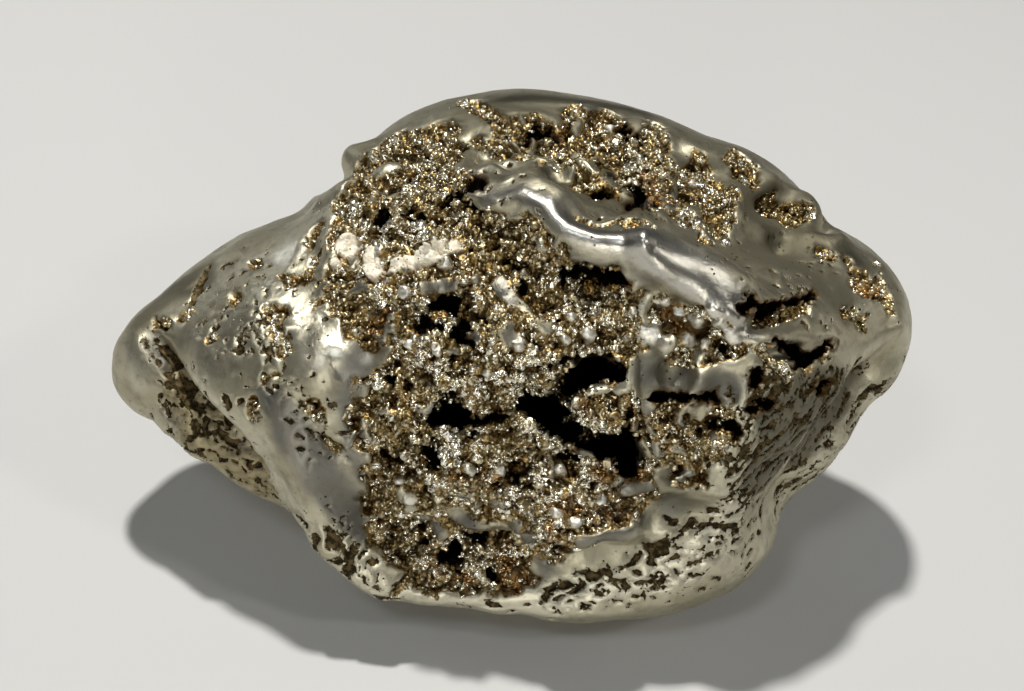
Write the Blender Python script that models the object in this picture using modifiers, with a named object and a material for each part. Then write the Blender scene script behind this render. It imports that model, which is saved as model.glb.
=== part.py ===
"""A native platinum nugget, one solid lump of metal, modelled at its real size.

Lengths in the tables are millimetres. X runs along the nugget, Y away from its
granular face, Z up. The origin is under the middle of the lump, level with the
small flat that it rests on.
"""

import math
import random

import bmesh
import bpy
import numpy as np
from mathutils import Euler, Matrix, Vector, noise

METRES = 0.001
MIDDLE = Vector((0.2, 2.4, 0.0))  # middle of the lump's length and depth, in the tables' frame
VOXEL = 0.6
FINE_VOXEL = 0.5
WELD = 0.0001
MOST_TRIANGLES = 9600

# Rounded masses that have grown together: centre, half sizes, turn in degrees
LOBES = {
    "body": ((1, 0, 20), (25, 18, 17), (0, 0, 0)),
    "back rim": ((4, 12, 26), (20, 12, 11), (0, 3, -4)),
    "crown left": ((-7.4, 9, 24.6), (10.4, 11, 9.2), (0, 0, 0)),
    "crown right": ((16, 10, 26), (12, 11, 9), (0, 14, 0)),
    "right nose": ((26, 4, 23.4), (9, 10, 8), (0, 5, 0)),
    "right shoulder": ((20, -3.4, 24.4), (9.4, 9, 9), (0, 20, 0)),
    "right flank": ((19, -1, 17.4), (12.6, 11, 10.5), (0, -35, 0)),
    "right foot": ((13, -6, 9), (12.5, 12, 8.6), (0, -10, 0)),
    "left shoulder": ((-18, 0, 20), (12, 11, 9), (0, -20, 0)),
    "left lobe": ((-20.6, -6.4, 19.4), (7.6, 8, 7.4), (0, -20, 0)),
    "snout bridge": ((-24, -1, 19.5), (10, 8, 6), (0, -33, 0)),
    "snout": ((-28.5, -4, 17.5), (6.5, 6, 5.5), (0, -25, 10)),
    "snout foot": ((-20, -6, 15), (12, 8, 6), (0, 28, -20)),
    "belly": ((3.5, -1, 9.5), (20, 15, 11), (0, -3, 0)),
    "back heel": ((-3, 9.5, 10.5), (17, 11.5, 10.2), (0, 3, 0)),
}

# Worn ridges and rims, each a rope through points with its own radius: x, y, z, radius
RIDGES = {
    "front ridge": [(-10, -1, 34.5, 2), (-4, -3.2, 36.4, 3), (0.5, -5, 37.4, 2.8), (4, -8.4, 36.6, 2.7),
                    (10, -7.6, 36, 2.8), (15.5, -8, 34, 3), (20, -10, 29.4, 3.2), (21, -12, 21, 2.6)],
    "left rim": [(-23, -1, 24, 3), (-19, -8, 24.5, 4.2), (-15.6, -13.6, 18.5, 4),
                 (-13.3, -15, 12, 3.4), (-9.3, -16, 8.6, 2.6), (-4.6, -16.6, 7, 2.3), (0, -16.6, 6.6, 2.3)],
    "bottom rim": [(-4, -16.4, 7, 2.3), (2, -16.4, 6.4, 2.6), (9, -15.5, 7, 3.2),
                   (15, -14, 10.5, 3.4), (20, -12, 20, 2.6)],
}

# Broad hollows between the ridges, also ropes
HOLLOWS = {
    "face": [(-8, -19.5, 27, 3), (-4, -20, 25, 4.8), (3, -20.5, 24.6, 5.4),
             (9, -20, 22.6, 5), (12, -20, 20, 3)],
    "under the ridge": [(-4, -11, 36.6, 1.4), (1, -13, 35.4, 2.2), (6, -14.6, 34, 2.6),
                        (11, -14.4, 33.2, 2.4), (16, -14.6, 30.6, 2)],
    "crown valley": [(-13, 3, 35.5, 2.4), (-3, 4.5, 38.8, 3.4), (5, 6, 39.4, 4.4), (12, 6.6, 38.2, 4.6),
                     (19, 7.4, 35.4, 3.8), (27, 7, 32, 2.2)],
    "snout groove": [(-32, -9, 22.5, 1), (-26, -13, 18.5, 2.2), (-20, -16.5, 16, 2.4),
                     (-16, -18.5, 11, 1.6)],
    "back hollow": [(-14, 24, 24, 3), (-4, 27, 20, 5), (8, 27, 18, 5), (16, 23, 20, 3)],
}

# Granular ground, where the metal stands in lumps between the worn places
GRANULAR = {
    "left slope": [(-15, 8, 31, 6), (-12, 1, 33, 6), (-12, -6, 31, 6)],
    "face": [(-10, -8, 32, 7), (-6, -14, 27, 9), (1, -15, 23, 11), (3, -17, 16, 10), (0, -18, 11, 8)],
    "face left": [(-11, -13, 27, 7), (-9.5, -15.5, 20, 7), (-6, -17, 13, 7)],
    "right of the slot": [(10, -14, 31, 6), (13, -14, 24, 7), (11, -16, 16, 7)],
    "crown valley": [(-14, 5, 33, 5), (-4, 6, 36, 6), (5, 7, 36, 7),
                     (13, 6.6, 35, 6), (20, 6.6, 33, 5), (25, 7.4, 31, 3.6)],
    "nose patch": [(27.5, 0, 29, 3.2), (30, 0.5, 27, 3.2)],
    "back hollow": [(-12, 22, 24, 6), (-3, 23, 19, 8), (8, 23, 18, 8), (16, 20, 20, 6)],
}
GRAINS = {  # lumps scattered on the granular ground: how many, smallest and largest radius
    "large": (240, 1.2, 1.9),
    "small": (900, 0.7, 1.2),
}
GRAIN_SUNK = (-0.45, 0.2)  # how deep a grain's middle lies, least and most, as a share of its radius
GRANULAR_DEPTH = 1.0  # how far the granular ground lies below the worn metal
WORN_WAVES = (9.0, 0.35)  # spacing, height
PITS = {  # scattered pits: how many, smallest and largest radius, depth as a share of the radius
    "granular": (110, 0.9, 1.7, 0.9),
    "worn": (80, 0.7, 1.3, 0.6),
}
ROUGH_EDGE = 0.35  # granular share above which grains grow
FADE = {"rough": 2.5, "worn": 4.0}  # how quickly each kind of ground gives way at its edge
WEAR = {"lump": 14, "hollows": 3, "hollowed": 5, "edges": 1}  # rounds of smoothing
SEED = 3

# Thin ridges and knobs that stand up out of the granular ground, ropes too
KNOBS = {
    "septum": [(8.6, -9.6, 35, 1.2), (10, -12.6, 31, 1), (10.8, -14.2, 27, 1), (12, -15.2, 22.5, 1.1),
               (13.4, -15.4, 18, 1)],
    "pillar": [(18.5, -11, 30, 2.2), (18.5, -13.5, 24.5, 2.4), (17.5, -14.5, 18.5, 2)],
    "pocket knob": [(11.8, -12, 31.4, 1.6), (12.8, -12, 30.8, 1.7)],
    "pocket knob right": [(16, -11.4, 31.4, 1.3), (16.8, -11.2, 30.6, 1.4)],
    "worn knob": [(14, -13.2, 29, 1.3), (16, -12.6, 28.4, 1.5)],
    "island": [(6.6, -13.6, 26.6, 1.2), (8.4, -14, 26, 1.2)],
    "cream knob": [(-8, -7.4, 34.8, 1.6), (-6.6, -7.6, 34.8, 1.5)],
    "crown knob": [(9.6, 5.2, 35.4, 1.6), (10.4, 7.4, 35.4, 1.9), (9.8, 9.4, 35, 1.5)],
    "crown ridge": [(17, 4.4, 33.6, 1.4), (17.6, 7, 33.8, 1.6), (19, 9, 33.2, 1.4)],
    "lower ledge": [(4, -18.5, 16, 1.6), (8, -18, 15.5, 1.7), (12, -16.4, 15.5, 1.4)],
}

# Clefts and holes: depth, the way in, and the ropes that they follow at the surface
INTO_FACE = Vector((0, 0.85, -0.5)).normalized()
INTO_CROWN = Vector((0, 0.15, -1)).normalized()
INTO_RIGHT = Vector((-0.45, 0.7, -0.55)).normalized()
INTO_SNOUT = Vector((0.3, 0.75, -0.35)).normalized()
INTO_BACK = Vector((0.2, -0.95, -0.2)).normalized()
CLEFTS = {
    "slot": (6, INTO_FACE, [(1.4, -14.6, 25.6, 0.7), (3.4, -15, 24.8, 1), (5.4, -15.2, 23.8, 1.1),
                            (7.6, -15.4, 23, 0.9), (10, -15.4, 22.2, 0.9)]),
    "slot end": (5, INTO_FACE, [(10.2, -15, 23.6, 0.7), (10.8, -15.6, 21.6, 1.1), (11.2, -15.8, 20.6, 1)]),
    "slot roof": (6, INTO_FACE, [(4.6, -14.2, 28.4, 0.8), (6.4, -14, 28.9, 1.2), (8.8, -13.6, 28.9, 1)]),
    "slot step": (6, INTO_FACE, [(5.2, -14.2, 28, 1), (4.4, -14.6, 26.4, 1.1), (4, -15, 25, 1)]),
    "left hole": (6, INTO_FACE, [(-5.4, -16, 24.6, 1.3), (-4.2, -16.2, 24.4, 1.5), (-3.1, -16.2, 24, 1)]),
    "upper hole": (5, INTO_FACE, [(-6.7, -10.8, 32, 0.6), (-5.1, -11.6, 32.2, 0.7)]),
    "middle hole": (4.5, INTO_FACE, [(-7.6, -12.4, 30.4, 0.6), (-6, -12.4, 30.6, 0.8)]),
    "middle hole right": (5, INTO_FACE, [(-4.4, -12.7, 31.4, 0.7), (-4.2, -13.6, 30, 0.9)]),
    "ridge hole": (3, INTO_FACE, [(-1, -9, 34.8, 0.6), (-0.2, -9.2, 34.9, 0.6)]),
    "left pit": (3, INTO_FACE, [(-9.6, -15.2, 27.2, 0.6), (-8.7, -15, 27, 0.6)]),
    "left lower pit": (4, INTO_FACE, [(-6, -16.7, 20.4, 0.7), (-5.1, -16.8, 19.9, 0.9)]),
    "low hole": (3.5, INTO_FACE, [(-2.2, -16.8, 12, 0.8), (-0.5, -17.2, 12.4, 0.8)]),
    "low pit": (3.5, INTO_FACE, [(-3.9, -16.6, 10, 0.7), (-2.5, -16.8, 10, 0.8)]),
    "under the ridge": (3.5, INTO_FACE, [(4.3, -10.8, 34.4, 0.8), (5.6, -11, 34.2, 1), (6.8, -11, 34, 0.8)]),
    "brown pocket": (3, INTO_FACE, [(10.3, -11, 33.4, 0.7), (12.4, -10.6, 32.8, 0.8),
                                    (14.4, -11, 31.8, 0.7)]),
    "right pit": (2.5, INTO_FACE, [(12.5, -14.2, 27.2, 0.6), (13.6, -14.4, 27.2, 0.7)]),
    "right crack": (2.5, INTO_FACE, [(14.8, -14.6, 27.2, 0.5), (16.6, -13.8, 26.6, 0.6)]),
    "crown pit": (4, INTO_CROWN, [(6, 6.4, 36, 1.2), (7.4, 7.6, 35.6, 1.5)]),
    "crown pit right": (4, INTO_CROWN, [(12.4, 4.6, 34.8, 1), (13.8, 5.6, 34.6, 1.2)]),
    "crown groove": (3, INTO_CROWN, [(-1.2, 6.8, 36, 0.7), (1.2, 7.6, 36, 0.9), (3.6, 7.2, 36, 0.8)]),
    "ridge start": (2.5, INTO_CROWN, [(-8.2, -2.4, 38, 0.7), (-6.4, -1, 38.4, 1), (-4.8, 0.6, 38, 0.7)]),
    "long crack": (3, INTO_FACE, [(18.2, -11.4, 33.2, 0.8), (20, -10.5, 33.4, 1.2), (22.1, -7.8, 32.3, 0.9),
                                  (24.1, -5, 31.9, 0.5)]),
    "short crack": (2.5, INTO_RIGHT, [(20.4, -12, 31.4, 0.7), (23.2, -10, 30.2, 1), (25.5, -8, 29.4, 0.6)]),
    "snout crease": (1.5, INTO_SNOUT, [(-33.4, -5, 22.8, 0.8), (-30.4, -7.4, 21.8, 1.1),
                                       (-26.6, -11, 19.8, 1.4), (-22.4, -14, 17.6, 1.5),
                                       (-19.2, -16.4, 14, 1.3), (-16.6, -18, 10, 0.9)]),
    "snout pit": (2, INTO_CROWN, [(-31.4, -1.8, 24, 0.5), (-29.8, -1.4, 24.6, 0.8), (-28, -0.8, 25.4, 0.5)]),
    "back crack": (3, INTO_BACK, [(-18, 16, 26, 0.6), (-13, 21.6, 23, 1), (-8, 24, 22, 0.7)]),
}
SWEEP_STEP = 0.6  # spacing of a cleft's ropes on the way in
CLEFT_TAPER = 0.45  # share of its width that a cleft loses on the way in

PLATINUM = {"colour": (0.52, 0.5, 0.46, 1.0), "roughness": 0.32, "metallic": 1.0}


def add_lobes(soup, lobes):
    """Adds one ball, stretched and turned, for each lobe."""
    for centre, half_sizes, turn in lobes.values():
        turned = Euler([math.radians(angle) for angle in turn])
        place = Matrix.LocRotScale(Vector(centre), turned, Vector(half_sizes))
        bmesh.ops.create_icosphere(soup, subdivisions=5, radius=1, matrix=place)


def add_ropes(soup, ropes, roundness):
    """Adds one tube for each rope, smooth through its points."""
    curve = bpy.data.curves.new("ropes", "CURVE")
    curve.dimensions = "3D"
    curve.bevel_depth = 1.0
    curve.bevel_resolution = roundness
    curve.resolution_u = 8
    curve.use_fill_caps = True
    for knots in ropes:
        spline = curve.splines.new("BEZIER")
        spline.bezier_points.add(len(knots) - 1)
        for point, (x, y, z, radius) in zip(spline.bezier_points, knots):
            point.co = (x, y, z)
            point.radius = radius
            point.handle_left_type = point.handle_right_type = "AUTO"
    carrier = bpy.data.objects.new("ropes", curve)
    bpy.context.scene.collection.objects.link(carrier)
    graph = bpy.context.evaluated_depsgraph_get()
    soup.from_mesh(bpy.data.meshes.new_from_object(carrier.evaluated_get(graph)))
    bpy.data.objects.remove(carrier)


def as_mesh(name, soup):
    """The soup as a mesh, with the caps of its tubes welded on."""
    bmesh.ops.remove_doubles(soup, verts=soup.verts[:], dist=WELD)
    mesh = bpy.data.meshes.new(name)
    soup.to_mesh(mesh)
    soup.free()
    return mesh


def finished(mesh, *steps):
    """The mesh after a stack of modifiers, each given as (kind, settings)."""
    carrier = bpy.data.objects.new(mesh.name, mesh)
    bpy.context.scene.collection.objects.link(carrier)
    for kind, settings in steps:
        modifier = carrier.modifiers.new(kind, kind)
        for key, value in settings.items():
            setattr(modifier, key, value)
    graph = bpy.context.evaluated_depsgraph_get()
    result = bpy.data.meshes.new_from_object(carrier.evaluated_get(graph))
    bpy.data.objects.remove(carrier)
    return result


def skin(voxel, rounds):
    """Modifiers that grow overlapping bodies into one even skin."""
    return (
        ("REMESH", {"mode": "VOXEL", "voxel_size": voxel}),
        ("SMOOTH", {"factor": 0.5, "iterations": rounds}),
    )


def grown_together(name, lobes, ropes, rounds):
    """Lobes and ropes as one rounded body."""
    soup = bmesh.new()
    add_lobes(soup, lobes)
    add_ropes(soup, ropes.values(), roundness=4)
    return finished(as_mesh(name, soup), *skin(VOXEL, rounds))


def cut_away(mesh, cutter, voxel, rounds):
    """The mesh without what the cutter fills, with the cut's edges worn."""
    tool = bpy.data.objects.new(cutter.name, cutter)
    bpy.context.scene.collection.objects.link(tool)
    cut = ("BOOLEAN", {"object": tool, "operation": "DIFFERENCE"})
    result = finished(mesh, cut, *skin(voxel, rounds))
    bpy.data.objects.remove(tool)
    return result


def nearness(points, ropes):
    """For each point, 1 on the line of a rope, falling to 0 at its radius."""
    best = np.zeros(len(points))
    for knots in ropes.values():
        for start, end in zip(np.array(knots, float), np.array(knots[1:], float)):
            way = end[:3] - start[:3]
            along = np.clip((points - start[:3]) @ way / (way @ way), 0.0, 1.0)
            nearest = start[:3] + along[:, None] * way
            radius = start[3] + (end[3] - start[3]) * along
            best = np.maximum(best, 1.0 - np.linalg.norm(points - nearest, axis=1) / radius)
    return best


def granular_share(points):
    """How granular the metal is at each point: 1 in the rough ground, 0 where it is worn."""
    rough = np.clip(nearness(points, GRANULAR) * FADE["rough"], 0.0, 1.0)
    worn = np.clip(nearness(points, RIDGES) * FADE["worn"], 0.0, 1.0)
    return rough * (1.0 - worn)


def lowered(mesh):
    """The mesh with its granular ground sunk a little below the worn metal."""
    points = np.array([vertex.co for vertex in mesh.vertices])
    normals = np.array([vertex.normal for vertex in mesh.vertices])
    sunk = points - normals * (granular_share(points) * GRANULAR_DEPTH)[:, None]
    mesh.vertices.foreach_set("co", sunk.ravel())
    return finished(mesh, *skin(VOXEL, WEAR["edges"]))


def grains(soup, mesh, dice):
    """Scatters lumps over the granular ground, half sunk in it."""
    points = np.array([vertex.co for vertex in mesh.vertices])
    ground = np.flatnonzero(granular_share(points) > ROUGH_EDGE)
    ball = bmesh.new()
    bmesh.ops.create_icosphere(ball, subdivisions=2, radius=1)
    for count, smallest, largest in GRAINS.values():
        for _ in range(count):
            vertex = mesh.vertices[ground[dice.randrange(len(ground))]]
            radius = dice.uniform(smallest, largest)
            centre = vertex.co - vertex.normal * radius * dice.uniform(*GRAIN_SUNK)
            sizes = Vector([radius * dice.uniform(0.75, 1.2) for _ in range(3)])
            turned = Euler([dice.uniform(0, math.pi) for _ in range(3)])
            grain = bpy.data.meshes.new("grain")
            ball.to_mesh(grain)
            grain.transform(Matrix.LocRotScale(centre, turned, sizes))
            soup.from_mesh(grain)
            bpy.data.meshes.remove(grain)
    ball.free()


def studded(mesh, dice):
    """The mesh with its knobs and grains grown on."""
    soup = bmesh.new()
    soup.from_mesh(mesh)
    add_ropes(soup, KNOBS.values(), roundness=2)
    grains(soup, mesh, dice)
    return finished(as_mesh("studded", soup), *skin(FINE_VOXEL, WEAR["edges"]))


def pitted(mesh, dice):
    """Slow waves on the worn metal, and scattered pits, most of them in the granular ground."""
    points = np.array([vertex.co for vertex in mesh.vertices])
    normals = np.array([vertex.normal for vertex in mesh.vertices])
    shares = granular_share(points)
    waves = np.array([noise.noise(vertex.co / WORN_WAVES[0]) for vertex in mesh.vertices])
    rise = (1.0 - shares) * waves * WORN_WAVES[1]
    for name, (count, smallest, largest, depth) in PITS.items():
        ground = np.flatnonzero((shares > ROUGH_EDGE) == (name == "granular"))
        for _ in range(count):
            centre = points[ground[dice.randrange(len(ground))]]
            radius = dice.uniform(smallest, largest)
            along = Vector([dice.uniform(-1, 1) for _ in range(3)]).normalized()
            offset = points - centre
            offset -= np.outer(offset @ along, along) * dice.uniform(0.0, 0.5)
            inside = 1.0 - (np.linalg.norm(offset, axis=1) / radius) ** 2
            rise -= depth * radius * np.clip(inside, 0.0, 1.0)
    mesh.vertices.foreach_set("co", (points + normals * rise[:, None]).ravel())
    return finished(mesh, *skin(FINE_VOXEL, 0))


def clefts():
    """The cutter for the clefts: each rope swept from just outside the skin to its depth."""
    swept = []
    for depth, way_in, knots in CLEFTS.values():
        widest = max(knot[3] for knot in knots)
        steps = math.ceil((depth + widest) / SWEEP_STEP)
        for step in range(steps + 1):
            reach = depth * step / steps - widest * (1 - step / steps)
            taper = 1 - CLEFT_TAPER * step / steps
            swept.append([(*(Vector(knot[:3]) + way_in * reach), knot[3] * taper) for knot in knots])
    soup = bmesh.new()
    add_ropes(soup, swept, roundness=1)
    return finished(as_mesh("clefts", soup), *skin(FINE_VOXEL, WEAR["edges"]))


def biggest_body(mesh):
    """The mesh without loose crumbs or sealed bubbles."""
    body = bmesh.new()
    body.from_mesh(mesh)
    unseen = set(body.verts)
    pieces = []
    while unseen:
        front = [unseen.pop()]
        piece = list(front)
        while front:
            vertex = front.pop()
            for edge in vertex.link_edges:
                other = edge.other_vert(vertex)
                if other in unseen:
                    unseen.remove(other)
                    front.append(other)
                    piece.append(other)
        pieces.append(piece)
    pieces.sort(key=len)
    for piece in pieces[:-1]:
        bmesh.ops.delete(body, geom=piece, context="VERTS")
    body.to_mesh(mesh)
    body.free()
    return mesh


def with_resting_flat(mesh):
    """The mesh cut off level at the bottom, closed by one flat face."""
    body = bmesh.new()
    body.from_mesh(mesh)
    everything = body.verts[:] + body.edges[:] + body.faces[:]
    cut = bmesh.ops.bisect_plane(
        body, geom=everything, dist=0.0001, plane_co=(0, 0, 0), plane_no=(0, 0, 1), clear_inner=True
    )
    rim = [item for item in cut["geom_cut"] if isinstance(item, bmesh.types.BMEdge)]
    bmesh.ops.holes_fill(body, edges=rim, sides=0)
    bmesh.ops.recalc_face_normals(body, faces=body.faces[:])
    body.to_mesh(mesh)
    body.free()
    return mesh


def platinum():
    """Worn native platinum: a warm grey metal."""
    material = bpy.data.materials.new("native platinum")
    material.use_nodes = True
    shader = material.node_tree.nodes["Principled BSDF"]
    shader.inputs["Base Color"].default_value = PLATINUM["colour"]
    shader.inputs["Roughness"].default_value = PLATINUM["roughness"]
    shader.inputs["Metallic"].default_value = PLATINUM["metallic"]
    material.diffuse_color = PLATINUM["colour"]
    return material


def nugget_mesh():
    """The whole lump: masses and ridges, hollows, grains, pits, clefts, resting flat."""
    dice = random.Random(SEED)
    lump = grown_together("lump", LOBES, RIDGES, WEAR["lump"])
    hollows = grown_together("hollows", {}, HOLLOWS, WEAR["hollows"])
    lump = cut_away(lump, hollows, VOXEL, WEAR["hollowed"])
    lump = studded(lowered(lump), dice)
    lump = pitted(lump, dice)
    lump = cut_away(lump, clefts(), FINE_VOXEL, WEAR["edges"])
    lump = biggest_body(lump)
    lump = finished(lump, ("DECIMATE", {"ratio": 0.5 * MOST_TRIANGLES / len(lump.polygons)}))
    lump = biggest_body(with_resting_flat(lump))
    lump.transform(Matrix.Scale(METRES, 4) @ Matrix.Translation(-MIDDLE))
    lump.shade_smooth()
    return lump


def main():
    for leftover in list(bpy.data.objects):
        bpy.data.objects.remove(leftover)
    mesh = nugget_mesh()
    mesh.name = "nugget"
    mesh.materials.clear()
    mesh.materials.append(platinum())
    nugget = bpy.data.objects.new("nugget", mesh)
    collection = bpy.data.collections.new("native platinum nugget")
    bpy.context.scene.collection.children.link(collection)
    collection.objects.link(nugget)
    for spare in list(bpy.data.meshes):
        if not spare.users:
            bpy.data.meshes.remove(spare)


main()
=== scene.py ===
import math
import random

import bmesh
import bpy
import numpy as np
from mathutils import Matrix, Vector, noise
from mathutils.bvhtree import BVHTree
from mathutils.kdtree import KDTree


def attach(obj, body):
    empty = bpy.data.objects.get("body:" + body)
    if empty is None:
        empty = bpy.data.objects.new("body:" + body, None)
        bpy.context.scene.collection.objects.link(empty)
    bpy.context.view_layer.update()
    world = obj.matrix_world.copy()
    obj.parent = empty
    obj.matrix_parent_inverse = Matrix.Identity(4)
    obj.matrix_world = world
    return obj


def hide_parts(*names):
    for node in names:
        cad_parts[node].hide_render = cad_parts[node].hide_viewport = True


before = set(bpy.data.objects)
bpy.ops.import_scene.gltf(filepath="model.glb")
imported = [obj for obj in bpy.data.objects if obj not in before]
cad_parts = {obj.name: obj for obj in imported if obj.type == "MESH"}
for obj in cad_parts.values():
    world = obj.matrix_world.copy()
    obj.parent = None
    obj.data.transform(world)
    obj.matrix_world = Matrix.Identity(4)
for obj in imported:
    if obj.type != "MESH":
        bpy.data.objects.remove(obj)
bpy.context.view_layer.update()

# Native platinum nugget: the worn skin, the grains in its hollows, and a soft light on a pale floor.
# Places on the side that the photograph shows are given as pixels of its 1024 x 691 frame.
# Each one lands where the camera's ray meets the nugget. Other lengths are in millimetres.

mm = 0.001
farOutside = -9.0        # millimetres, for a point that no stroke is near

# the camera stands where the photograph's did

cameraSet = {
    "imageWide": 1024, "imageHigh": 691,
    "focalPixels": 2030.0,     # a long lens
    "pitch": 37.3,             # degrees down
    "roll": 6.5,
    "distance": 178.0,
    "target": (-0.2, -2.4, 20.0),
}


def put(name, data):
    holder = bpy.data.objects.new(name, data)
    bpy.context.scene.collection.objects.link(holder)
    return holder


def cameraAxes():
    pitch = math.radians(cameraSet["pitch"])
    roll = math.radians(cameraSet["roll"])
    level = Vector((1, 0, 0))
    raised = Vector((0, math.sin(pitch), math.cos(pitch)))
    right = level * math.cos(roll) + raised * math.sin(roll)
    up = raised * math.cos(roll) - level * math.sin(roll)
    back = Vector((0, -math.cos(pitch), math.sin(pitch)))
    return right, up, back


viewRight, viewUp, viewBack = cameraAxes()
eye = (Vector(cameraSet["target"]) + viewBack * cameraSet["distance"]) * mm


def addCamera():
    lens = bpy.data.cameras.new("camera")
    lens.sensor_width = 36.0
    lens.lens = cameraSet["focalPixels"] * lens.sensor_width / cameraSet["imageWide"]
    lens.clip_start = 0.01
    holder = put("camera", lens)
    place = Matrix((viewRight, viewUp, viewBack)).transposed().to_4x4()
    place.translation = eye
    holder.matrix_world = place
    bpy.context.scene.camera = holder


addCamera()
print("camera set")

# finding places on the solid

def weldedCopy(node):
    body = bmesh.new()
    body.from_mesh(node.data)
    bmesh.ops.remove_doubles(body, verts=body.verts[:], dist=1e-6)
    mesh = bpy.data.meshes.new("welded")
    body.to_mesh(mesh)
    body.free()
    return mesh


welded = weldedCopy(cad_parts["nugget"])
solidTree = BVHTree.FromPolygons([v.co.copy() for v in welded.vertices],
                                 [tuple(p.vertices) for p in welded.polygons])


def landed(x, y):
    sideways = (x - cameraSet["imageWide"] / 2) / cameraSet["focalPixels"]
    upward = (cameraSet["imageHigh"] / 2 - y) / cameraSet["focalPixels"]
    ray = (viewRight * sideways + viewUp * upward - viewBack).normalized()
    spot, normal, _, _ = solidTree.ray_cast(eye, ray)
    return spot, normal


def landedStroke(stroke):
    # a stroke drawn over the photograph, as points on the nugget with radii in metres
    found = []
    for x, y, radius in stroke:
        spot, _ = landed(x, y)
        if spot is None:
            print("a point missed the nugget:", x, y)
            continue
        away = (spot - eye).length
        found.append((*spot, radius * away / cameraSet["focalPixels"]))
    return found


def landedAll(strokes):
    ropes = [landedStroke(stroke) for stroke in strokes]
    return [rope for rope in ropes if rope]


def metres(rope):
    return [tuple(value * mm for value in knot) for knot in rope]


def inside(points, ropes):
    # how many millimetres inside the strokes each point is, below 0 outside them
    best = np.full(len(points), farOutside)
    for rope in ropes:
        knots = np.array(rope, float)
        if len(knots) == 1:
            knots = np.vstack([knots, knots])
        for start, end in zip(knots, knots[1:]):
            way = end[:3] - start[:3]
            span = max(float(way @ way), 1e-12)
            along = np.clip((points - start[:3]) @ way / span, 0.0, 1.0)
            nearest = start[:3] + along[:, None] * way
            radius = start[3] + (end[3] - start[3]) * along
            best = np.maximum(best, (radius - np.linalg.norm(points - nearest, axis=1)) / mm)
    return best


def drawnInside(points, strokes, reach=5.0):
    # the same, but measured in the picture, for points within reach of where the strokes land
    away = points - np.array(eye)
    depth = -(away @ np.array(viewBack))
    focal = cameraSet["focalPixels"]
    across = cameraSet["imageWide"] / 2 + focal * (away @ np.array(viewRight)) / depth
    down = cameraSet["imageHigh"] / 2 - focal * (away @ np.array(viewUp)) / depth
    pixel = cameraSet["distance"] * mm / focal
    flat = np.stack([across, down, np.zeros(len(points))], 1) * pixel
    best = np.full(len(points), farOutside)
    for stroke in strokes:
        rope = [(x, y, z, reach * mm) for x, y, z, _ in landedStroke(stroke)]
        if not rope:
            continue
        drawn = inside(flat, [[(x * pixel, y * pixel, 0.0, radius * pixel) for x, y, radius in stroke]])
        best = np.maximum(best, np.where(inside(points, [rope]) > 0, drawn, farOutside))
    return best


def smoothStep(values, low, high):
    share = np.clip((values - low) / (high - low), 0.0, 1.0)
    return share * share * (3.0 - 2.0 * share)


# where the metal is worn and where it is granular: strokes of (x, y, radius)

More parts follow.
